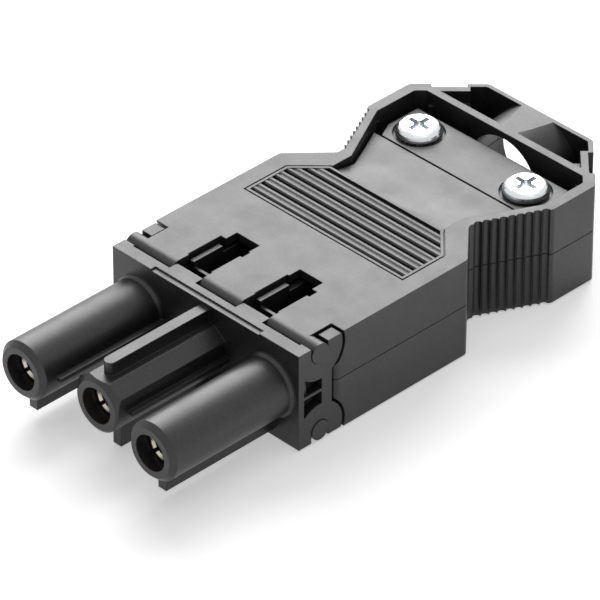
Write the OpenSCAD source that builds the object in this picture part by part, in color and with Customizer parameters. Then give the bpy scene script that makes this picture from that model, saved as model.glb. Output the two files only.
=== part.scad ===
// Three-pole installation connector, socket half, with a rewirable clamshell housing.
// Frame of the finished part: +X to the right, the sleeves point along -Y, +Z up,
// origin at the middle of the footprint. Inside the modules Y is 0 on the mating
// face of the flange and Z is 0 on the parting plane, which holds the sleeve axes.

/* [Poles] */
// Distance between neighbouring pole axes
pole_pitch = 10; // [9.8:0.05:10.4]
// Length of the outer sleeves in front of the flange
sleeve_len = 17.4; // [15:0.1:20]
// How far the middle sleeve stands back from the outer two
middle_setback = 1.65; // [0.5:0.05:3]
// Outside diameter of a sleeve
sleeve_d = 7; // [6.6:0.1:7.2]
// Diameter of a sleeve's mouth
mouth_d = 4.3; // [4.1:0.1:4.7]
// Bevel round a sleeve's front end
sleeve_bevel = 0.6; // [0.3:0.05:0.9]
// Bore of the metal sockets that the mating pins enter
socket_bore_d = 3.06; // [2.8:0.02:3.2]

/* [Middle sleeve] */
// Half width of the flat on top of the middle sleeve
crown_half = 1.5; // [1:0.05:1.9]
// Height of that flat above the pole axis
crown_h = 3.3; // [3:0.05:3.6]
// Width of the coding key on the middle sleeve
key_w = 1.4; // [1:0.1:2]
// Height of the key's top above the pole axis
key_h = 4.95; // [4.2:0.05:5.3]
// How far the key's nose stands back from the middle sleeve's face
key_setback = 1.45; // [0.5:0.05:4]

/* [Ribs on the sleeves] */
// Width of the keel under each sleeve
keel_w = 1.2; // [0.8:0.1:2]
// Depth of the outer keels below the pole axis
keel_h = 5.5; // [4.5:0.1:6.4]
// How far a keel stands back from its sleeve's face
keel_setback = 1.65; // [0.5:0.05:4]
// How far a guide fin stands out from a sleeve's side
fin_out = 0.65; // [0.3:0.05:0.9]
// Thickness of a guide fin
fin_t = 0.5; // [0.3:0.05:0.8]

/* [Flange] */
// How far each end of the flange stands in from the shell's side
flange_in = 0.1; // [0:0.05:0.2]
// Thickness of the flange
flange_t = 1.6; // [1.3:0.05:1.6]
// How far the flange's top lies below the top of the upper shell
flange_drop = 0.2; // [0:0.05:0.5]
// How far the step along the flange's upper front edge stops short of each end
rebate_in = 6; // [2:0.2:10]
// Depth of that step, front to back
rebate_y = 0.7; // [0.3:0.05:1]
// Drop of that step
rebate_z = 0.2; // [0.1:0.05:0.5]

/* [Shells] */
// Width of the shells beyond the axes of the outer poles, on each side
pole_margin = 4.4; // [4.35:0.05:6]
// Height of the upper shell above the parting plane
upper_h = 5.9; // [5.9:0.1:7]
// Depth of the lower shell below the parting plane
lower_h = 6.5; // [6.4:0.1:8]
// How far the neck stands in from each side
neck_in = 4.5; // [3.5:0.1:4.8]
// How far the finger grips stand in from each side
grip_in = 0.15; // [0:0.05:0.5]
// How far the rear end stands in from each side
rear_in = 6.45; // [5.5:0.05:7]
// Distance from the mating face to the end of the straight sides
neck_start = 25.2; // [24.8:0.1:27]
// Distance from the mating face to the narrowest point
neck_end = 30; // [29.5:0.1:31]
// Distance from the mating face to the end of the fluted flare
flare_end = 38.8; // [38:0.1:40]
// Distance from the mating face to the rear corners
corner_start = 45.3; // [45:0.1:46]
// Distance from the mating face to the rear face
rear_y = 51.6; // [51:0.1:53]
// Side wall thickness beside the terminals
side_wall = 1; // [0.9:0.05:1.1]
// Wall thickness of the rim round the cable clamp
rim_wall = 1.35; // [1.1:0.05:1.6]
// Thickness of the roof and of the floor
skin = 1; // [0.8:0.05:1.2]
// Thickness of the thin rear wall
rear_wall = 0.55; // [0.4:0.05:0.8]
// Radius of the outline's corners
corner_r = 0.8; // [0.3:0.05:1.2]
// Gap between the two shells on the parting plane
parting_gap = 0.1; // [0.06:0.02:0.2]

/* [Hinges] */
// Distance from the mating face to the hinge axes
hinge_y = 3.1; // [3.1:0.05:3.3]
// Radius of the hinge bars and their pin ends
hinge_r = 1.2; // [1:0.05:1.2]
// Radial clearance of a pin in its cradle
hinge_fit = 0.05; // [0.02:0.01:0.1]
// Radius of the side plates' round ears about a hinge axis
ear_r = 3.35; // [3:0.05:3.5]
// Thickness of the side plates
side_plate_t = 1.5; // [1.2:0.05:1.6]
// Clearance between parts that swing past each other
swing_gap = 0.3; // [0.2:0.05:0.35]

/* [Latch windows and tabs] */
// Width of the two tabs behind the flange
tab_w = 4; // [3.6:0.1:4.2]
// Length of the tabs behind the flange
tab_len = 1.15; // [0.8:0.05:1.2]
// Side clearance of a tab between two bar segments
tab_gap = 0.1; // [0.05:0.01:0.2]
// Distance from the mating face to the rear edge of the windows
window_end = 11.15; // [9.5:0.05:12]
// Height of the partition ribs above the carrier's top, inside the windows
rib_up = 0.8; // [0.4:0.05:1]

/* [Ribbed thumb panel] */
// Distance from the mating face to the front of the panel
panel_start = 17.5; // [17.4:0.05:18]
// Distance from the mating face to the end of the panel
panel_end = 27.5; // [27:0.05:28]
// How far the panel stands in from each side
panel_in = 2.2; // [1.8:0.1:4]
// Cut of the panel's two rear corners
panel_cut = 3.5; // [2:0.1:5]
// Pitch of the ribs
rib_pitch = 1.72; // [1.4:0.02:2]
// Width of one rib
rib_w = 1.38; // [1:0.02:1.5]
// Depth of the grooves between the ribs
groove_h = 0.45; // [0.3:0.05:0.6]
// Width of the flat frame round the ribs
frame_w = 0.5; // [0.3:0.05:0.8]
// Width of the fine line round that frame
line_w = 0.16; // [0.1:0.02:0.3]
// Depth of that line
line_h = 0.25; // [0.15:0.05:0.4]

/* [Finger grips] */
// Number of upright flutes on each grip
flutes = 9; // [6:1:9]
// Pitch of the flutes along the flare
flute_pitch = 0.977; // [0.9:0.001:0.98]
// Radius of the flute cutter
flute_r = 0.5; // [0.45:0.01:0.6]
// Depth of a flute
flute_h = 0.36; // [0.2:0.02:0.5]

/* [Cable clamp] */
// Distance from the mating face to the clamp's front gap
well_start = 37.1; // [37:0.05:37.6]
// Depth of the clamp saddle's top below the top of the upper shell
saddle_drop = 1.5; // [1.3:0.05:2]
// Length of the saddle along the cable
saddle_len = 6.7; // [6:0.05:7]
// Gap in front of the saddle
saddle_gap = 0.25; // [0.2:0.05:0.4]
// Gap beside the saddle's ends
saddle_side_gap = 1.2; // [0.6:0.05:1.6]
// Thickness of the saddle's end plates
saddle_t = 1.6; // [1.4:0.05:1.8]
// How far each clamp screw stands in from the grip's outer face
screw_in = 6.05; // [5.8:0.05:6.4]
// Thread diameter of the clamp screws
clamp_thread_d = 3; // [2.6:0.1:3]
// Head diameter of the clamp screws
clamp_head_d = 5.3; // [5:0.1:5.6]
// Height of a clamp screw's head
clamp_head_h = 1.6; // [1.3:0.05:1.7]
// Radial gap between a clamp screw's head and its recess
head_gap = 0.35; // [0.2:0.05:0.4]
// Depth of that recess
head_sink = 0.45; // [0.3:0.05:0.6]
// Length of a clamp screw below its head
clamp_shank = 6; // [5.6:0.1:6.4]

/* [Cable tunnel] */
// Radius of the cable arch through the cross wall
cable_r = 5.1; // [4.6:0.05:5.2]
// Radius at the tunnel's rear mouth
tunnel_mouth_r = 5.6; // [5.4:0.05:5.7]
// Wall thickness of the tunnel
tunnel_wall = 0.8; // [0.7:0.05:0.9]
// Distance from the mating face to the cross wall
cross_y = 45.7; // [45.6:0.05:46]
// Thickness of the cross wall
cross_t = 1; // [0.8:0.05:1.1]

/* [Rear snaps] */
// Width of a snap notch along the rear corner
notch_w = 4.1; // [3.6:0.1:4.6]
// Depth of a snap notch into the corner
notch_h = 0.6; // [0.4:0.05:0.7]
// Height of the lower shell's snap tongues above the parting plane
tongue_h = 3.2; // [2:0.1:3.6]
// Thickness of a snap tongue
tongue_t = 0.8; // [0.6:0.05:0.9]

/* [Terminals] */
// Inner width of a terminal chamber
chamber_w = 5.2; // [5:0.05:5.3]
// Distance from the mating face to the chambers' rear end
carrier_end = 16.5; // [16.2:0.05:16.6]
// Thickness of a chamber's rear wall
chamber_rear_t = 1.2; // [0.9:0.05:1.4]
// Depth of the chamber floors below the pole axis
chamber_floor = 3.6; // [3.5:0.05:3.8]
// Width of a terminal block
block_w = 5; // [4.8:0.05:5]
// Length of a terminal block
block_len = 6.4; // [5.5:0.05:6.4]
// Height of a terminal block
block_h = 4.5; // [4.2:0.05:4.6]
// Width of the wire tunnel in a terminal block
wire_w = 3.2; // [2.8:0.05:3.4]
// Height of that tunnel
wire_h = 2.4; // [2.2:0.05:2.6]
// Thread diameter of the terminal screws
term_thread_d = 3; // [2.5:0.1:3]
// Radial clearance of a screw in its thread
thread_fit = 0.05; // [0.02:0.01:0.08]
// Head diameter of the terminal screws
term_head_d = 4.4; // [4:0.1:4.8]
// Height of a terminal screw's head
term_head_h = 1.5; // [1.2:0.05:1.6]
// Travel that a terminal screw can be driven in
term_travel = 1.2; // [0.8:0.1:1.2]

/* [Socket contacts] */
// Outside radius of a socket contact
socket_r = 1.9; // [1.85:0.01:1.92]
// How far a socket's front stands back from its sleeve's mouth
socket_setback = 1.8; // [1.2:0.05:2.5]
// Depth of the socket's bore
socket_depth = 12; // [10:0.5:13]
// Width of the two slits in a socket
slit_w = 0.45; // [0.3:0.05:0.6]
// Wall thickness of the steel over-spring
spring_t = 0.22; // [0.15:0.01:0.25]
// Length of the steel over-spring
spring_len = 7; // [5:0.25:8]

/* [Hidden] */
$fn = 48;
slop = 1;                                  // how far a cutter runs past a face
LINE = -1;                                 // side of the line pole, EARTH and NEUTRAL likewise
EARTH = 0;
NEUTRAL = 1;

nylon = [0.17, 0.17, 0.18];
brass = [0.78, 0.62, 0.32];
tinned = [0.72, 0.70, 0.66];
zinc = [0.80, 0.81, 0.82];
steel = [0.62, 0.63, 0.65];

// Where the finished part stands: its footprint's middle is the origin
origin_y = (rear_y - sleeve_len) / 2;
origin_z = -lower_h;

// Widths
shell_w = 2 * (pole_pitch + pole_margin);
flange_w = shell_w - 2 * flange_in;
neck_w = shell_w - 2 * neck_in;
grip_w = shell_w - 2 * grip_in;
rear_w = shell_w - 2 * rear_in;
panel_w = shell_w - 2 * panel_in;

// Flange and hinge
flange_top = upper_h - flange_drop;
upper_pin_z = upper_h - hinge_r;
lower_pin_z = hinge_r - lower_h;
plate_in = flange_w / 2 - side_plate_t;    // inner face of a side plate
shell_front = hinge_y + 1.75 + swing_gap;  // front edge of the shells' side walls
column_back = shell_front - swing_gap;     // rear edge of the carrier's side columns
column_front = column_back - 1.45;
strip_t = 0.75;                            // side strip of the flange beside the side openings
window_up = upper_pin_z - 2.6;             // top and bottom of the side openings
window_down = lower_pin_z + 2.6;
web_t = 0.35;                              // thin web between the two side openings

// Carrier block behind the flange
block_top = upper_h - skin - swing_gap - 0.1;
block_bottom = skin + swing_gap + 0.2 - lower_h;
block_half = shell_w / 2 - side_wall - swing_gap;
bar_clear_y = hinge_y + hinge_r + swing_gap;
bar_clear_up = upper_pin_z - hinge_r - swing_gap;
bar_clear_down = lower_pin_z + hinge_r + swing_gap;
front_wall = bar_clear_y;                  // flange and chamber front wall together
rib_t = 0.65;                              // partition ribs seen in the windows
partition_in = pole_pitch / 2 - 1.2;       // faces of the slot between two chambers
partition_out = pole_pitch / 2 + 1.45;
window_in = partition_in - rib_t - swing_gap;
window_out = partition_out + rib_t + swing_gap;
rib_end = 8.9;

// Shell outline, one side from front to rear, then mirrored
outline = [
    [shell_w / 2, shell_front], [shell_w / 2, neck_start], [neck_w / 2, neck_end],
    [grip_w / 2, flare_end], [grip_w / 2, corner_start], [rear_w / 2, rear_y]
];
outline_all = concat(outline, [for (i = [len(outline) - 1:-1:0]) [-outline[i][0], outline[i][1]]]);

// Ramp, well and saddle
ramp_top = upper_h - 0.45;
saddle_top = upper_h - saddle_drop;
ramp_rise = ramp_top - saddle_top;
ramp_run = well_start - panel_end;
ramp_r = (ramp_run * ramp_run + ramp_rise * ramp_rise) / (2 * ramp_rise);
ramp_half = neck_w / 2 - rim_wall;         // half width of the ramp beside the neck
well_half = grip_w / 2 - rim_wall;
ceiling = 3.9;                             // underside of the roof behind the terminals
saddle_start = well_start + saddle_gap;
saddle_half = well_half - saddle_side_gap;
screw_x = grip_w / 2 - screw_in;
screw_y = saddle_start + saddle_len / 2;
head_seat = saddle_top - head_sink;
boss_r = 2.65;
boss_top = -2 * parting_gap;
bed_half = 5;                              // half width of the cable bed ribs
bed_rib = 0.9;                             // thickness of a cable rib
rib_y = [for (k = [-1:1]) screw_y + k * (saddle_len / 2 - 0.6 - bed_rib / 2)];
grip_r = cable_r + 1.1;                    // radius hollowed in the cable ribs
bed_top = -3;                              // top of the ribs on the floor
press_drop = 1.6;                          // height of the ribs under the saddle

// Terminals
screw_term_y = carrier_end - chamber_rear_t - block_len / 2;
block_front = carrier_end - chamber_rear_t - block_len - 0.1;
wire_floor = 0.6 - chamber_floor;
guard_t = 0.4;
guard_top = wire_floor + wire_h - 0.05;
term_head_z = block_h - chamber_floor + term_travel + 0.3;
contact_nose = socket_setback - sleeve_len;
shoulder_y = front_wall;
tail_w = 2.8;
tail_t = 0.6;

// ---------------------------------------------------------------- helpers

function unit(v) = v / norm(v);
function inward(a, b) = [a[1] - b[1], b[0] - a[0]] / norm(b - a);
// Point where the line through p along d meets the line through q along e
function meet(p, d, q, e) =
    p + d * ((q[0] - p[0]) * e[1] - (q[1] - p[1]) * e[0]) / (d[0] * e[1] - d[1] * e[0]);
// Outline with every edge moved inward by t
function inset(pts, t) =
    let (n = len(pts))
    [for (i = [0:n - 1])
        let (a = pts[(i + n - 1) % n], b = pts[i], c = pts[(i + 1) % n])
        meet(b + t * inward(a, b), b - a, b + t * inward(b, c), c - b)];
// Shorter way round from angle a to angle b
function turn(a, b) = (b - a + 540) % 360 - 180;
// Arc of radius r that rounds the corner a-b-c
function corner_arc(a, b, c, r, steps) =
    let (u = unit(a - b), v = unit(c - b), half = acos(u * v) / 2,
         centre = b + unit(u + v) * r / sin(half),
         from = b + u * r / tan(half) - centre,
         to = b + v * r / tan(half) - centre,
         a0 = atan2(from[1], from[0]),
         sweep = turn(a0, atan2(to[1], to[0])))
    [for (s = [0:steps]) centre + r * [cos(a0 + sweep * s / steps), sin(a0 + sweep * s / steps)]];
// Outline with every corner rounded
function rounded(pts, r, steps = 4) =
    let (n = len(pts))
    [for (i = [0:n - 1], p = corner_arc(pts[(i + n - 1) % n], pts[i], pts[(i + 1) % n], r, steps)) p];

// Box between two opposite corners
module box(a, b) translate(a) cube(b - a);
// Cylinder along X between x0 and x1 at height z and depth y
module rod_x(x0, x1, y, z, r) translate([x0, y, z]) rotate([0, 90, 0]) cylinder(r = r, h = x1 - x0);
// Cylinder along Y between y0 and y1, r2 for a taper
module rod_y(x, y0, y1, z, r) translate([x, y1, z]) rotate([90, 0, 0]) cylinder(r = r, h = y1 - y0);
// Upright cylinder between z0 and z1
module rod_z(x, y, z0, z1, r) translate([x, y, z0]) cylinder(r = r, h = z1 - z0);
// Child and its mirror image in the middle plane
module both() {
    children();
    mirror([1, 0, 0]) children();
}
// Profile in the Y-Z plane, extruded from x0 to x1
module across(x0, x1) translate([x0, 0, 0]) rotate([90, 0, 90]) linear_extrude(x1 - x0) children();
// Moves a piece from the working frame to the finished frame
module placed() translate([0, -origin_y, -origin_z]) children();

// Shell plan moved inward by t
module plan(t = 0) polygon(rounded(inset(outline_all, t), t == 0 ? corner_r : 0.5));

// ---------------------------------------------------------------- contact carrier

module round_sleeve() {
    difference() {
        union() {
            rotate([90, 0, 0]) rotate_extrude() polygon([
                [0, -flange_t], [sleeve_d / 2 + 0.3, -flange_t], [sleeve_d / 2 + 0.3, 0.2],
                [sleeve_d / 2, 0.5], [sleeve_d / 2, sleeve_len - sleeve_bevel],
                [sleeve_d / 2 - sleeve_bevel, sleeve_len], [0, sleeve_len]]);
            box([-keel_w / 2, keel_setback - sleeve_len, -keel_h], [keel_w / 2, 0, 0]);
        }
        sleeve_bore(-sleeve_len);
    }
}

module middle_section() {
    intersection() {
        union() {
            circle(r = sleeve_d / 2 - 0.3);
            translate([-(sleeve_d / 2 - 0.3), 0]) square([sleeve_d - 0.6, sleeve_d]);
        }
        polygon([
            [-sleeve_d, -sleeve_d], [sleeve_d, -sleeve_d], [sleeve_d, 0],
            [sleeve_d / 2 - 0.3, crown_h - 1.3], [crown_half, crown_h],
            [-crown_half, crown_h], [0.3 - sleeve_d / 2, crown_h - 1.3], [-sleeve_d, 0]]);
    }
}

module middle_sleeve() {
    nose = middle_setback - sleeve_len;
    key_nose = nose + key_setback + key_w / 2;
    difference() {
        union() {
            intersection() {
                translate([0, flange_t, 0]) rotate([90, 0, 0])
                    linear_extrude(flange_t - nose) middle_section();
                rotate([90, 0, 0]) rotate_extrude() polygon([
                    [0, -flange_t], [sleeve_d, -flange_t], [sleeve_d, sleeve_bevel - nose - sleeve_d / 2],
                    [sleeve_d / 2 - sleeve_bevel, -nose], [0, -nose]]);
            }
            box([-key_w / 2, key_nose, 0], [key_w / 2, 0, key_h]);
            rod_z(0, key_nose, 0, key_h, key_w / 2);
            box([-keel_w / 2, nose + keel_setback + 1.2, -lower_h], [keel_w / 2, 0, 0]);
        }
        sleeve_bore(nose);
    }
}

// Stepped bore: mouth, room for the over-spring, close fit through the flange
module sleeve_bore(nose) {
    rod_y(0, nose - slop, nose + socket_setback + 0.1, 0, mouth_d / 2);
    rod_y(0, nose + socket_setback, -1, 0, socket_r + spring_t + 0.2);
    rod_y(0, -1 - slop, front_wall + slop, 0, socket_r);
}

module flange() {
    difference() {
        union() {
            intersection() {
                box([-flange_w / 2, 0, -lower_h], [flange_w / 2, flange_t, flange_top]);
                rounded_flange();
            }
            both() {
                tab_x = pole_pitch / 2 + 0.1;
                box([tab_x - tab_w / 2, 0.5, bar_clear_up], [tab_x + tab_w / 2, flange_t + tab_len, flange_top]);
            }
        }
        box([rebate_in - flange_w / 2, -slop, flange_top - rebate_z],
            [flange_w / 2 - rebate_in, rebate_y, flange_top + slop]);
        both() box([plate_in, strip_t, window_down], [flange_w / 2 + slop, flange_t + slop, window_up]);
    }
}

// Flange outline with rounded lower corners
module rounded_flange() {
    r = 0.8;
    translate([0, flange_t, 0]) rotate([90, 0, 0]) linear_extrude(flange_t) union() {
        translate([-flange_w / 2, r - lower_h]) square([flange_w, flange_top + lower_h - r]);
        translate([r - flange_w / 2, -lower_h]) square([flange_w - 2 * r, 2 * r]);
        for (s = [-1, 1]) translate([s * (flange_w / 2 - r), r - lower_h]) circle(r = r, $fn = 32);
    }
}

// Right-hand side plate: column, two round ears and the thin web between its openings
module side_plate() {
    x0 = plate_in;
    x1 = flange_w / 2;
    difference() {
        union() {
            rod_x(x0, x1, hinge_y, upper_pin_z, ear_r);
            rod_x(x0, x1, hinge_y, lower_pin_z, ear_r);
            box([x0, column_front, lower_pin_z], [x1, column_back, upper_pin_z]);
            box([x0, 0, -web_t], [x1, column_back, 0]);
            box([x0, 0, 0.8 - lower_h], [x1, strip_t, flange_top]);
            box([x0, 0, window_up], [x1, hinge_y, flange_top]);
            box([x0, 0, 0.8 - lower_h], [x1, hinge_y, window_down]);
        }
        box([x0 - slop, -slop, flange_top], [x1 + slop, hinge_y + 2 * ear_r, upper_h + ear_r]);
        box([x0 - slop, -slop, -lower_h - ear_r], [x1 + slop, hinge_y + 2 * ear_r, -lower_h]);
        // the ears' front halves end at the mating face
        box([x0 - slop, -ear_r, -lower_h - ear_r], [x1 + slop, 0, upper_h + ear_r]);
        // cradles, open upwards and downwards
        for (s = [-1, 1]) {
            pin_z = s > 0 ? upper_pin_z : lower_pin_z;
            r = hinge_r + hinge_fit;
            rod_x(x0 - slop, x1 + slop, hinge_y, pin_z, r);
            box([x0 - slop, hinge_y - r, min(pin_z, pin_z + s * 3)],
                [x1 + slop, hinge_y + r, max(pin_z, pin_z + s * 3)]);
        }
    }
}

// Block with the three terminal chambers
module chamber_block() {
    difference() {
        union() {
            box([-block_half, flange_t, bar_clear_down], [block_half, bar_clear_y, bar_clear_up]);
            box([-block_half, bar_clear_y, block_bottom], [block_half, carrier_end, block_top]);
            // partition ribs that stand up inside the windows
            both() for (x = [partition_in - rib_t, partition_out])
                box([x, bar_clear_y, block_top], [x + rib_t, rib_end, block_top + rib_up]);
        }
        // slots between the chambers
        both() box([partition_in, bar_clear_y + 0.4, block_bottom + 1],
                   [partition_out, carrier_end + slop, block_top + slop]);
        for (x = [-pole_pitch, 0, pole_pitch]) translate([x, 0, 0]) {
            box([-chamber_w / 2, front_wall, -chamber_floor],
                [chamber_w / 2, carrier_end - chamber_rear_t, block_top + slop]);
            rod_y(0, flange_t - slop, front_wall + slop, 0, socket_r);
            // wire notch through the rear wall
            rod_y(0, carrier_end - chamber_rear_t - slop, carrier_end + slop,
                  wire_floor + wire_h / 2, wire_w / 2 + 0.3);
            box([-wire_w / 2 - 0.3, carrier_end - chamber_rear_t - slop, wire_floor + wire_h / 2],
                [wire_w / 2 + 0.3, carrier_end + slop, block_top + slop]);
        }
        // room for the side plates' ears inside the block's front corners
        both() box([plate_in - 0.01, bar_clear_y - slop, -lower_h], [block_half + slop, hinge_y + ear_r, upper_h]);
    }
}

module contact_carrier() color(nylon) placed() {
    for (s = [-1, 1]) translate([s * pole_pitch, 0, 0]) {
        round_sleeve();
        // guide fin on the side that faces the middle sleeve
        mirror([s < 0 ? 0 : 1, 0, 0])
            difference() {
                box([0, keel_setback + 0.3 - sleeve_len, -fin_t / 2], [sleeve_d / 2 + fin_out, 0, fin_t / 2]);
                rod_y(0, -sleeve_len, slop, 0, mouth_d / 2 + 0.7);
            }
    }
    middle_sleeve();
    both() box([sleeve_d / 2 - 0.4, middle_setback + keel_setback - sleeve_len, -fin_t / 2],
               [sleeve_d / 2 - 0.3 + fin_out, 0, fin_t / 2]);
    difference() {
        union() {
            flange();
            chamber_block();
        }
        for (x = [-pole_pitch, 0, pole_pitch]) rod_y(x, -slop, front_wall + slop, 0, socket_r);
    }
    both() side_plate();
}

// ---------------------------------------------------------------- shells

// Hinge bar across the shell with gaps for the two tabs
module hinge_bar(z) {
    difference() {
        rod_x(-shell_w / 2, shell_w / 2, hinge_y, z, hinge_r);
        both() tab_slot(z);
    }
}

module tab_slot(z) {
    tab_x = pole_pitch / 2 + 0.1;
    box([tab_x - tab_w / 2 - tab_gap, 0, z - 3], [tab_x + tab_w / 2 + tab_gap, bar_clear_y, z + 3]);
}

// Everything within the swing radius of an ear
module ear_clearance(z) both()
    rod_x(plate_in - swing_gap, shell_w / 2 + slop, hinge_y, z, ear_r + swing_gap);

// Upright flutes along both flares, cut from z0 to z1
module flute_cuts(z0, z1) {
    from = outline[2];
    along = unit(outline[3] - outline[2]);
    out = [along[1], -along[0]];
    both() for (k = [0:flutes - 1]) {
        p = from + along * (1.08 + flute_pitch * k) + out * (flute_r - flute_h);
        rod_z(p[0], p[1], z0 - slop, z1 + slop, flute_r, $fn = 24);
    }
}

// Notch across each rear corner, cut from z0 to z1 and h deep
module corner_notch(h, w, z0, z1) both() {
    mid = (outline[4] + outline[5]) / 2;
    translate([mid[0], mid[1], z0]) rotate([0, 0, 45])
        translate([-h, -w / 2, 0]) cube([h + 2, w, z1 - z0]);
}

// Plan of the ribbed panel, moved inward by t
module panel_plan(t = 0) polygon(inset([
    [panel_w / 2, panel_start], [panel_w / 2, panel_end - panel_cut],
    [panel_w / 2 - panel_cut, panel_end], [panel_cut - panel_w / 2, panel_end],
    [-panel_w / 2, panel_end - panel_cut], [-panel_w / 2, panel_start]], t));

// One rib with two crests and a dip between them, bevelled on both sides
module rib_profile(h) {
    bevel = 0.16;
    dip = 0.12;
    crest = 0.26;
    polygon([[0, -0.2], [rib_w, -0.2], [rib_w, h - bevel], [rib_w - bevel, h],
             [rib_w / 2 + crest, h], [rib_w / 2, h - dip], [rib_w / 2 - crest, h],
             [bevel, h], [0, h - bevel]]);
}

// Fine line round the panel and the trough for its ribs, let into a face at height top
module panel_recess(top) {
    translate([0, 0, top - line_h]) linear_extrude(slop) difference() {
        panel_plan();
        panel_plan(line_w);
    }
    translate([0, 0, top - groove_h]) linear_extrude(slop) panel_field();
}

module panel_field() intersection() {
    panel_plan(frame_w);
    translate([-panel_w / 2, panel_start]) square([panel_w, panel_end - panel_start]);
}

module panel_ribs(top) intersection() {
    union() for (y = [panel_start + frame_w + 0.35:rib_pitch:panel_end - rib_w])
        translate([0, y, top - groove_h]) across(-panel_w / 2, panel_w / 2) rib_profile(groove_h - 0.04);
    translate([0, 0, top - 2]) linear_extrude(2) panel_plan(frame_w - 0.02);
}

// Ramp that dips from the panel to the clamp, in plan
module ramp_plan() polygon([
    [ramp_half, panel_end], [ramp_half, neck_end + 0.45], [well_half, flare_end],
    [well_half, well_start + 3], [-well_half, well_start + 3], [-well_half, flare_end],
    [-ramp_half, neck_end + 0.45], [-ramp_half, panel_end]]);

// Space above the ramp
module ramp_space() intersection() {
    translate([0, 0, saddle_top - slop]) linear_extrude(upper_h) ramp_plan();
    rod_x(-grip_w, grip_w, well_start, saddle_top + ramp_r, ramp_r, $fn = 360);
}

// Slots between the ramp and the rim, widening towards the clamp
module ramp_slots() both() translate([0, 0, -slop]) linear_extrude(upper_h + 2 * slop) polygon([
    [ramp_half, panel_end + 0.4], [ramp_half, neck_end + 0.45], [well_half, flare_end],
    [saddle_half, flare_end], [saddle_half, well_start], [ramp_half - 0.3, neck_end + 0.6],
    [ramp_half - 0.3, panel_end + 0.4]]);

// Well round the clamp saddle, open from top to bottom
module well() translate([0, 0, -slop]) linear_extrude(upper_h + 2 * slop) intersection() {
    plan(rim_wall);
    translate([-grip_w / 2, well_start]) square([grip_w, cross_y - well_start]);
}

// Pocket behind the cross wall, in plan
module pocket_plan() difference() {
    intersection() {
        plan(rear_wall);
        translate([-grip_w / 2, cross_y + cross_t]) square([grip_w, rear_y]);
    }
    both() {
        mid = (outline[4] + outline[5]) / 2;
        translate(mid) rotate(45) translate([-notch_h - 0.86, -notch_w / 2 - 0.3])
            square([3, notch_w + 0.6]);
        translate(outline[4] - [1.45, 0]) square([3, 2.5]);
    }
}

// Cable tunnel, solid, and the space inside it
module tunnel_body(z0, z1) intersection() {
    translate([0, rear_y, 0]) rotate([90, 0, 0])
        cylinder(r1 = tunnel_mouth_r + tunnel_wall, r2 = cable_r + tunnel_wall, h = rear_y - cross_y, $fn = 96);
    box([-grip_w / 2, cross_y, z0], [grip_w / 2, rear_y, z1]);
}

module tunnel_space() translate([0, cross_y, 0]) rotate([-90, 0, 0]) rotate_extrude($fn = 96)
    polygon([[0, -slop], [cable_r, -slop], [cable_r, cross_t], [tunnel_mouth_r, rear_y - cross_y - 1],
             [tunnel_mouth_r, rear_y - cross_y + slop], [0, rear_y - cross_y + slop]]);

// Room inside a shell between heights z0 and z1
module cavity(z0, z1, y0, y1, t) translate([0, 0, z0]) linear_extrude(z1 - z0) intersection() {
    plan(t);
    translate([-shell_w / 2, y0]) square([shell_w, y1 - y0]);
}

module upper_shell() color(nylon) placed() difference() {
    union() {
        difference() {
            union() {
                translate([0, 0, parting_gap / 2]) linear_extrude(upper_h - parting_gap / 2) plan();
                box([-plate_in + swing_gap, hinge_y, upper_h - skin], [plate_in - swing_gap, shell_front + 1, upper_h]);
            }
            ear_clearance(upper_pin_z);
            // terminal room, wiring room and the room under the ramp
            box([-shell_w / 2 + side_wall, 0, -slop], [shell_w / 2 - side_wall, carrier_end + swing_gap, upper_h - skin]);
            cavity(-slop, ceiling, carrier_end, neck_start + 3, rim_wall);
            intersection() {
                cavity(-slop, ramp_top, neck_start, well_start + slop, rim_wall);
                rod_x(-grip_w, grip_w, well_start, saddle_top - skin + 0.1 - ramp_r, ramp_r, $fn = 360);
            }
            box([-ramp_half + 0.4, neck_start, -slop], [ramp_half - 0.4, well_start, saddle_top - skin - 0.3]);
            well();
            ramp_space();
            ramp_slots();
            translate([0, 0, 0.8]) linear_extrude(upper_h) pocket_plan();
            both() box([window_in, bar_clear_y, upper_h - skin - slop], [window_out, rib_end + 0.6, upper_h + slop]);
            both() box([window_in + 0.25, rib_end, upper_h - skin - slop], [window_out - 0.8, window_end, upper_h + slop]);
            both() tab_slot(upper_pin_z);
            panel_recess(upper_h);
            flute_cuts(0, upper_h);
            corner_notch(notch_h, notch_w, 0, upper_h + slop);
        }
        tunnel_body(parting_gap / 2, upper_h);
        box([-well_half, cross_y, parting_gap / 2], [well_half, cross_y + cross_t, upper_h]);
        panel_ribs(upper_h);
        hinge_bar(upper_pin_z);
        snap_backing();
    }
    tunnel_space();
    corner_notch(tongue_t + 0.4, notch_w, -slop, tongue_h + 0.4);
    translate([0, 0, -slop]) linear_extrude(slop + parting_gap / 2) square(3 * rear_y, center = true);
}

// Thicker corner behind each snap tongue
module snap_backing() both() {
    mid = (outline[4] + outline[5]) / 2;
    translate([mid[0], mid[1], parting_gap / 2]) rotate([0, 0, 45])
        translate([-tongue_t - 1.3, -notch_w / 2 - 0.3, 0]) cube([1.1, notch_w + 0.6, tongue_h + 1]);
}

// Cable ribs across the bed, hollowed for the cable
module cable_bed() for (y = rib_y) difference() {
    box([-bed_half, y - bed_rib / 2, skin - lower_h], [bed_half, y + bed_rib / 2, bed_top]);
    rod_y(0, y - bed_rib, y + bed_rib, bed_top + grip_r - press_drop, grip_r);
}

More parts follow.
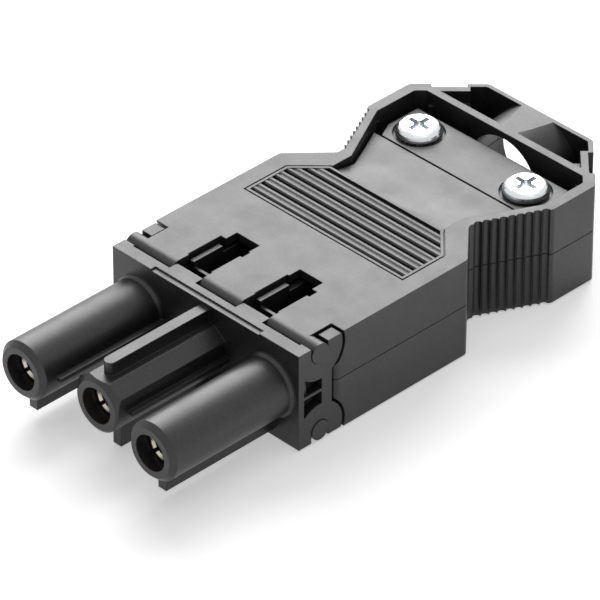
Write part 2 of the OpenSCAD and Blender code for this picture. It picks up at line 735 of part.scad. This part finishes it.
module snap_tongue() {
    mid = (outline[4] + outline[5]) / 2;
    w = notch_w - 2 * swing_gap;
    translate([mid[0], mid[1], 0]) rotate([0, 0, 45]) union() {
        translate([-tongue_t - 0.05, -w / 2, -2.5]) cube([tongue_t, w, tongue_h + 2.5]);
        translate([-tongue_t - 0.25, -w / 2 + 0.4, tongue_h - 0.9]) cube([0.3, w - 0.8, 0.5]);
    }
}

module lower_shell() color(nylon) placed() {
    difference() {
        union() {
            difference() {
                union() {
                    translate([0, 0, -lower_h]) linear_extrude(lower_h - parting_gap / 2) plan();
                    box([-plate_in + swing_gap, hinge_y, -lower_h], [plate_in - swing_gap, shell_front + 1, skin - lower_h]);
                }
                ear_clearance(lower_pin_z);
                box([-shell_w / 2 + side_wall, 0, skin - lower_h],
                    [shell_w / 2 - side_wall, carrier_end + swing_gap, slop]);
                cavity(skin + 0.2 - lower_h, slop, carrier_end, cross_y, rim_wall);
                cavity(skin + 0.2 - lower_h, slop, cross_y + cross_t, rear_y - rim_wall, rim_wall);
                both() tab_slot(lower_pin_z);
                flute_cuts(-lower_h, 0);
                mirror([0, 0, 1]) panel_recess(lower_h);
            }
            hinge_bar(lower_pin_z);
            tunnel_floor();
            both() rod_z(screw_x, screw_y, skin - lower_h, boss_top, boss_r);
            cable_bed();
            both() snap_tongue();
        }
        tunnel_space();
        both() rod_z(screw_x, screw_y, skin - lower_h + 0.4, slop, clamp_thread_d / 2 + thread_fit);
    }
    mirror([0, 0, 1]) panel_ribs(lower_h);
}

// Solid cradle of the tunnel's lower half
module tunnel_floor() {
    tunnel_body(skin - lower_h, -parting_gap / 2);
    box([-well_half, cross_y, skin - lower_h], [well_half, cross_y + cross_t, -parting_gap / 2]);
}

// ---------------------------------------------------------------- cable clamp

module strain_relief_saddle() color(nylon) placed() difference() {
    under = saddle_top - saddle_t;
    union() {
        intersection() {
            box([-saddle_half, saddle_start, under], [saddle_half, saddle_start + saddle_len, saddle_top]);
            translate([0, 0, under]) linear_extrude(saddle_t) plan(rim_wall + saddle_side_gap);
        }
        // pressure ribs under the middle, hollowed for the cable
        for (y = rib_y) difference() {
            box([-bed_half, y - bed_rib / 2, under - press_drop], [bed_half, y + bed_rib / 2, under]);
            rod_y(0, y - bed_rib, y + bed_rib, under - grip_r - 0.5, grip_r);
        }
    }
    both() {
        rod_z(screw_x, screw_y, head_seat, saddle_top + slop, clamp_head_d / 2 + head_gap);
        rod_z(screw_x, screw_y, under - slop, saddle_top, clamp_thread_d / 2 + 0.1);
    }
}

// Pan-head screw with a cross recess, its head resting on z = 0
module clamp_screw() color(zinc) difference() {
    rotate_extrude() polygon(concat(
        [[0, -clamp_shank], [clamp_thread_d / 2 - 0.4, -clamp_shank],
         [clamp_thread_d / 2, 0.6 - clamp_shank], [clamp_thread_d / 2, 0], [clamp_head_d / 2, 0]],
        [for (a = [0:15:90]) [clamp_head_d / 2 - 0.9 + 0.9 * cos(a), 0.6 + (clamp_head_h - 0.6) * sin(a)]],
        [[0, clamp_head_h]]));
    for (a = [0, 90]) rotate([0, 0, a])
        translate([-1.5, -0.32, clamp_head_h - 0.8]) cube([3, 0.64, slop + 0.8]);
    translate([0, 0, clamp_head_h - 1.1]) cylinder(r = 0.62, h = slop + 1.1, $fn = 32);
}

module clamp_screw_at(side) placed() translate([side * screw_x, screw_y, head_seat]) clamp_screw();
module clamp_screw_left() clamp_screw_at(-1);
module clamp_screw_right() clamp_screw_at(1);

// ---------------------------------------------------------------- contacts and terminals

// Slit tube with a shoulder and a joggled flat tail
module socket_contact(side) color(tinned) placed() translate([side * pole_pitch, 0, 0]) {
    nose = contact_nose + (side == EARTH ? middle_setback : 0);
    difference() {
        union() {
            rod_y(0, nose, shoulder_y + 0.1, 0, socket_r);
            rod_y(0, shoulder_y, shoulder_y + 0.8, 0, socket_r + 0.5);
            across(-tail_w / 2, tail_w / 2) polygon([
                [shoulder_y + 0.4, -1], [shoulder_y + 2, -1], [block_front + 0.2, wire_floor + tail_t],
                [block_front + block_len - 0.6, wire_floor + tail_t], [block_front + block_len - 0.6, wire_floor],
                [block_front - 0.1, wire_floor], [shoulder_y + 1.6, -1 - tail_t], [shoulder_y + 0.4, -1 - tail_t]]);
        }
        rod_y(0, nose - slop, nose + socket_depth, 0, socket_bore_d / 2);
        rotate([-90, 0, 0]) translate([0, 0, nose - 0.01])
            cylinder(r1 = socket_bore_d / 2 + 0.22, r2 = socket_bore_d / 2, h = 0.3);
        for (a = [45, 135]) rotate([0, a, 0])
            box([-slit_w / 2, nose - slop, -3], [slit_w / 2, nose + spring_len + 1, 3]);
    }
}

// Rolled steel sleeve with one gap, gripping the slit end of the socket
module contact_spring(side) color(steel) placed() translate([side * pole_pitch, 0, 0]) {
    from = contact_nose + (side == EARTH ? middle_setback : 0) + 0.8;
    difference() {
        rod_y(0, from, from + spring_len, 0, socket_r + spring_t);
        rod_y(0, from - slop, from + spring_len + slop, 0, socket_r);
        box([-0.35, from - slop, -4], [0.35, from + spring_len + slop, 0]);
    }
}

module terminal_block(side) color(brass) placed() translate([side * pole_pitch, 0, 0]) difference() {
    box([-block_w / 2, block_front, -chamber_floor], [block_w / 2, block_front + block_len, block_h - chamber_floor]);
    box([-wire_w / 2, block_front - slop, wire_floor], [wire_w / 2, block_front + block_len + slop, wire_floor + wire_h]);
    rod_z(0, screw_term_y, wire_floor + wire_h - slop, block_h, term_thread_d / 2 + thread_fit);
    for (s = [-1, 1]) translate([s * block_w / 2, block_front, block_h - chamber_floor]) rotate([-90, 0, 0])
        rotate([0, 0, 45]) translate([-0.35, -0.35, -slop]) cube([0.7, 0.7, block_len + 2 * slop]);
}

module terminal_screw(side) color(zinc) placed()
    translate([side * pole_pitch, screw_term_y, 0]) difference() {
        rotate_extrude() polygon([
            [0, guard_top], [term_thread_d / 2 - 0.35, guard_top], [term_thread_d / 2, guard_top + 0.35],
            [term_thread_d / 2, term_head_z], [term_head_d / 2, term_head_z],
            [term_head_d / 2, term_head_z + term_head_h - 0.25],
            [term_head_d / 2 - 0.25, term_head_z + term_head_h], [0, term_head_z + term_head_h]]);
        translate([-term_head_d, -0.4, term_head_z + term_head_h - 0.9]) cube([2 * term_head_d, 0.8, 2]);
    }

// Steel leaf that keeps the screw's tip off the strands, with a turned-up front lip
module wire_guard(side) color(steel) placed() translate([side * pole_pitch, 0, 0]) {
    half = wire_w / 2 - 0.1;
    box([-half, screw_term_y - 2.2, guard_top - guard_t], [half, screw_term_y + 2.2, guard_top]);
}

module socket_contact_line() socket_contact(LINE);
module socket_contact_earth() socket_contact(EARTH);
module socket_contact_neutral() socket_contact(NEUTRAL);
module contact_spring_line() contact_spring(LINE);
module contact_spring_earth() contact_spring(EARTH);
module contact_spring_neutral() contact_spring(NEUTRAL);
module terminal_block_line() terminal_block(LINE);
module terminal_block_earth() terminal_block(EARTH);
module terminal_block_neutral() terminal_block(NEUTRAL);
module terminal_screw_line() terminal_screw(LINE);
module terminal_screw_earth() terminal_screw(EARTH);
module terminal_screw_neutral() terminal_screw(NEUTRAL);
module wire_guard_line() wire_guard(LINE);
module wire_guard_earth() wire_guard(EARTH);
module wire_guard_neutral() wire_guard(NEUTRAL);

contact_carrier();
upper_shell();
lower_shell();
strain_relief_saddle();
clamp_screw_left();
clamp_screw_right();
socket_contact_line();
socket_contact_earth();
socket_contact_neutral();
contact_spring_line();
contact_spring_earth();
contact_spring_neutral();
terminal_block_line();
terminal_block_earth();
terminal_block_neutral();
terminal_screw_line();
terminal_screw_earth();
terminal_screw_neutral();
wire_guard_line();
wire_guard_earth();
wire_guard_neutral();
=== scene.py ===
# %% [markdown]
# The connector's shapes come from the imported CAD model. This scene dresses them: it gives each
# part the finish of its real material and sets up a small white studio. No piece is added, because
# every solid is already in the CAD model. Everything is in metres, in the CAD model's own frame.

# %% Load the frame
import math
import bmesh
import bpy
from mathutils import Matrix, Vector

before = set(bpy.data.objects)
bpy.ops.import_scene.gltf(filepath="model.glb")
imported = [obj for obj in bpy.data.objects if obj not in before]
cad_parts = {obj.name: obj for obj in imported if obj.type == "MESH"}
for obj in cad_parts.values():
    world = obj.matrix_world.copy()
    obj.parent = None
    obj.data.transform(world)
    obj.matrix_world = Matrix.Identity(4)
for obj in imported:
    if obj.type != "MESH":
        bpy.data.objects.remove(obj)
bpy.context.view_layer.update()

MM = 0.001

# %% [markdown]
# A product picture is taken with a long lens from far away, which keeps the edges of a small part
# nearly parallel. The camera stands about 0.6 m off, to the right, in front and above, with a
# 345 mm lens. Its place could be found by trial, but working it out from the part's corners gives
# one answer for the lens and the angle together, so it is written here as numbers.

# %% Camera
AZIMUTH = 45.593
ELEVATION = 35.216
FOCAL_LENGTH = 344.75
PLACE = (0.3624, -0.3579, 0.3634)

camera_data = bpy.data.cameras.new("studio_camera")
camera_data.lens = FOCAL_LENGTH
camera_data.sensor_width = 36.0
camera_data.clip_start = 0.01
camera = bpy.data.objects.new("studio_camera", camera_data)
camera.location = PLACE
camera.rotation_euler = (math.radians(90 - ELEVATION), 0, math.radians(AZIMUTH))
bpy.context.scene.collection.objects.link(camera)
bpy.context.scene.camera = camera
print("camera at", tuple(camera.location))

# %% [markdown]
# Colours are written as the hex values that a colour picker shows, and one function turns them
# into the linear values that a shader needs. A second function adds a node, sets its options and
# makes its links, so that a material reads as a short list of what it is made of.

# %% Helpers for materials
def linear(hex_colour):
    """Linear RGBA of an sRGB hex colour."""
    values = [int(hex_colour[i:i + 2], 16) / 255 for i in (0, 2, 4)]
    return [v / 12.92 if v <= 0.04045 else ((v + 0.055) / 1.055) ** 2.4 for v in values] + [1.0]


def add_node(tree, kind, settings=None, inputs=None):
    """Adds a node. A value in inputs is a number or colour, or a (node, output name) to link."""
    node = tree.nodes.new(kind)
    for name, value in (settings or {}).items():
        setattr(node, name, value)
    for name, value in (inputs or {}).items():
        if isinstance(value, tuple) and isinstance(value[0], bpy.types.Node):
            tree.links.new(value[0].outputs[value[1]], node.inputs[name])
        else:
            node.inputs[name].default_value = value
    return node


def new_material(name, **surface):
    """A material with one Principled surface, and its tree for the patterns."""
    material = bpy.data.materials.new(name)
    material.use_nodes = True
    tree = material.node_tree
    tree.nodes.clear()
    shader = add_node(tree, "ShaderNodeBsdfPrincipled", inputs=surface)
    output = add_node(tree, "ShaderNodeOutputMaterial", inputs={"Surface": (shader, "BSDF")})
    return material, tree, shader


print("white is", linear("FFFFFF"))

# %% [markdown]
# The housing is black glass-filled nylon, injection moulded in a spark-eroded tool. The tool's
# grain and the glass fibres near the skin scatter light, so flat faces that face the lamp turn a
# soft grey while faces turned away stay black. The grain could be an image, but a noise pattern on
# Object coordinates needs no file and runs through every edge without a seam.

# %% Black glass-filled nylon
EDGE_RADIUS = 0.12 * MM


def moulded_nylon():
    """Injection moulded, black: a dark body under a satin skin with fine grain and soft edges."""
    material, tree, shader = new_material("moulded_black_nylon", **{
        "Base Color": linear("1B191B"), "Roughness": 0.4, "IOR": 1.53})
    place = add_node(tree, "ShaderNodeTexCoord")
    # spark-eroded grain, 0.15 mm across, drawn a little coarser than real so that it shows
    grain = add_node(tree, "ShaderNodeTexNoise", inputs={
        "Vector": (place, "Object"), "Scale": 6500.0, "Detail": 3.0, "Roughness": 0.65})
    # slow flow marks from the melt, a few millimetres long
    flow = add_node(tree, "ShaderNodeTexNoise", inputs={
        "Vector": (place, "Object"), "Scale": 240.0, "Detail": 4.0, "Roughness": 0.6})
    sheen = add_node(tree, "ShaderNodeMapRange", inputs={
        "Value": (flow, "Fac"), "From Min": 0.3, "From Max": 0.7, "To Min": 0.33, "To Max": 0.45})
    # glass fibres near the skin lighten it in specks
    fibre = add_node(tree, "ShaderNodeTexNoise", inputs={
        "Vector": (place, "Object"), "Scale": 2600.0, "Detail": 2.0, "Roughness": 0.7})
    speck = add_node(tree, "ShaderNodeMapRange", inputs={
        "Value": (fibre, "Fac"), "From Min": 0.35, "From Max": 0.75, "To Min": 0.0, "To Max": 1.0})
    body = add_node(tree, "ShaderNodeMix", {"data_type": "RGBA"})
    tree.links.new(speck.outputs["Result"], body.inputs["Factor"])
    body.inputs[6].default_value = linear("171517")
    body.inputs[7].default_value = linear("2A2728")
    # every moulded edge has a small radius, too small to be worth modelling
    edge = add_node(tree, "ShaderNodeBevel", {"samples": 6}, {"Radius": EDGE_RADIUS})
    bump = add_node(tree, "ShaderNodeBump", inputs={
        "Height": (grain, "Fac"), "Strength": 0.5, "Distance": 0.00002, "Normal": (edge, "Normal")})
    tree.links.new(body.outputs[2], shader.inputs["Base Color"])
    tree.links.new(sheen.outputs["Result"], shader.inputs["Roughness"])
    tree.links.new(bump.outputs["Normal"], shader.inputs["Normal"])
    return material


nylon = moulded_nylon()
print("made", nylon.name)

# %% [markdown]
# The metal parts are small: zinc-plated steel screws, tin-plated brass sockets, machined brass
# terminal blocks and rolled spring steel. Each keeps a plain metal surface with the roughness of
# its process, and a fine noise breaks up the reflections as plating and rolling do.

# %% Metals
def plated_metal(name, colour, low, high, scale):
    """A metal whose roughness wanders between low and high over spots 1/scale metres wide."""
    material, tree, shader = new_material(name, **{"Base Color": linear(colour), "Metallic": 1.0})
    place = add_node(tree, "ShaderNodeTexCoord")
    cloud = add_node(tree, "ShaderNodeTexNoise", inputs={
        "Vector": (place, "Object"), "Scale": scale, "Detail": 4.0})
    wander = add_node(tree, "ShaderNodeMapRange", inputs={
        "Value": (cloud, "Fac"), "From Min": 0.3, "From Max": 0.7, "To Min": low, "To Max": high})
    tree.links.new(wander.outputs["Result"], shader.inputs["Roughness"])
    return material


zinc = plated_metal("bright_zinc_plated_steel", "D9DCDE", 0.16, 0.30, 1400.0)
tin = plated_metal("tin_plated_brass", "CFC9B8", 0.22, 0.36, 1200.0)
brass = plated_metal("machined_brass", "D2AE6A", 0.20, 0.32, 1600.0)
spring_steel = plated_metal("rolled_spring_steel", "B4B7BA", 0.24, 0.38, 1800.0)
FINISH = {
    "contact_carrier": nylon, "upper_shell": nylon, "lower_shell": nylon,
    "strain_relief_saddle": nylon,
    "clamp_screw": zinc, "terminal_screw": zinc, "socket_contact": tin,
    "contact_spring": spring_steel, "wire_guard": spring_steel, "terminal_block": brass}
for name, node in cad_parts.items():
    finish = next(value for key, value in FINISH.items() if name.startswith(key))
    for slot in node.material_slots:
        slot.material = finish
    print(name, "->", finish.name)

# %% [markdown]
# The stage is a wide pale floor under the connector and nothing else. The camera and mirrors see
# the floor and the world as plain white, while the light itself stays soft: one large panel behind
# and above, whose reflection turns the top faces grey, and a weak one overhead for the shadows.

# %% Floor and world
FLOOR_HEIGHT = -0.2 * MM  # just under the connector, so that no faces share a plane
FLOOR_GLOW = 0.42
WORLD_LIGHT = 0.3


def seen_directly(tree):
    """1 for a ray from the camera, a mirror or glass, and 0 for the rays that carry light."""
    rays = add_node(tree, "ShaderNodeLightPath")
    mirror = add_node(tree, "ShaderNodeMath", {"operation": "MAXIMUM"})
    tree.links.new(rays.outputs["Is Glossy Ray"], mirror.inputs[0])
    tree.links.new(rays.outputs["Is Transmission Ray"], mirror.inputs[1])
    seen = add_node(tree, "ShaderNodeMath", {"operation": "MAXIMUM"})
    tree.links.new(rays.outputs["Is Camera Ray"], seen.inputs[0])
    tree.links.new(mirror.outputs[0], seen.inputs[1])
    return seen


def white_paper():
    """Paper that takes a shadow. A little glow, which only the camera sees, keeps it white."""
    material = bpy.data.materials.new("white_paper")
    material.use_nodes = True
    tree = material.node_tree
    tree.nodes.clear()
    paper = add_node(tree, "ShaderNodeBsdfDiffuse", inputs={"Color": linear("EDEDED")})
    glow = add_node(tree, "ShaderNodeEmission", inputs={
        "Color": linear("FFFFFF"), "Strength": FLOOR_GLOW})
    lit = add_node(tree, "ShaderNodeAddShader")
    tree.links.new(paper.outputs[0], lit.inputs[0])
    tree.links.new(glow.outputs[0], lit.inputs[1])
    seen = seen_directly(tree)
    mix = add_node(tree, "ShaderNodeMixShader", inputs={"Fac": (seen, "Value")})
    tree.links.new(paper.outputs[0], mix.inputs[1])
    tree.links.new(lit.outputs[0], mix.inputs[2])
    add_node(tree, "ShaderNodeOutputMaterial", inputs={"Surface": (mix, "Shader")})
    return material


floor_mesh = bpy.data.meshes.new("studio_floor")
work = bmesh.new()
bmesh.ops.create_grid(work, x_segments=1, y_segments=1, size=3.0)
bmesh.ops.translate(work, verts=work.verts, vec=(0, 0, FLOOR_HEIGHT))
work.to_mesh(floor_mesh)
work.free()
floor = bpy.data.objects.new("studio_floor", floor_mesh)
bpy.context.scene.collection.objects.link(floor)
floor.data.materials.append(white_paper())

world = bpy.data.worlds.new("studio_world")
bpy.context.scene.world = world
world.use_nodes = True
tree = world.node_tree
tree.nodes.clear()
dim = add_node(tree, "ShaderNodeBackground", inputs={
    "Color": linear("FFFFFF"), "Strength": WORLD_LIGHT})
white = add_node(tree, "ShaderNodeBackground", inputs={
    "Color": linear("FFFFFF"), "Strength": 1.0})
mix = add_node(tree, "ShaderNodeMixShader", inputs={"Fac": (seen_directly(tree), "Value")})
tree.links.new(dim.outputs[0], mix.inputs[1])
tree.links.new(white.outputs[0], mix.inputs[2])
add_node(tree, "ShaderNodeOutputWorld", inputs={"Surface": (mix, "Shader")})
print("floor at", FLOOR_HEIGHT)

# %% [markdown]
# Two square panels light the connector. The stronger one stands behind and to the left, where its
# reflection in the flat top faces reaches the camera. The other only softens the shadows.

# %% Lamps
AIM = Vector((0, 0, 0.005))


def panel_lamp(name, place, size, power):
    """A square area lamp at place, aimed at the connector's middle."""
    data = bpy.data.lights.new(name, "AREA")
    data.shape = "SQUARE"
    data.size = size
    data.energy = power
    lamp = bpy.data.objects.new(name, data)
    lamp.location = place
    aim = AIM - Vector(place)
    lamp.rotation_euler = aim.to_track_quat("-Z", "Y").to_euler()
    bpy.context.scene.collection.objects.link(lamp)
    print(name, "at", place, "power", power)


panel_lamp("back_panel", (-0.75, 0.73, 0.75), 1.1, 21.0)
panel_lamp("top_panel", (0.1, 0.1, 1.3), 1.0, 2.5)
bpy.context.scene.view_settings.view_transform = "Standard"
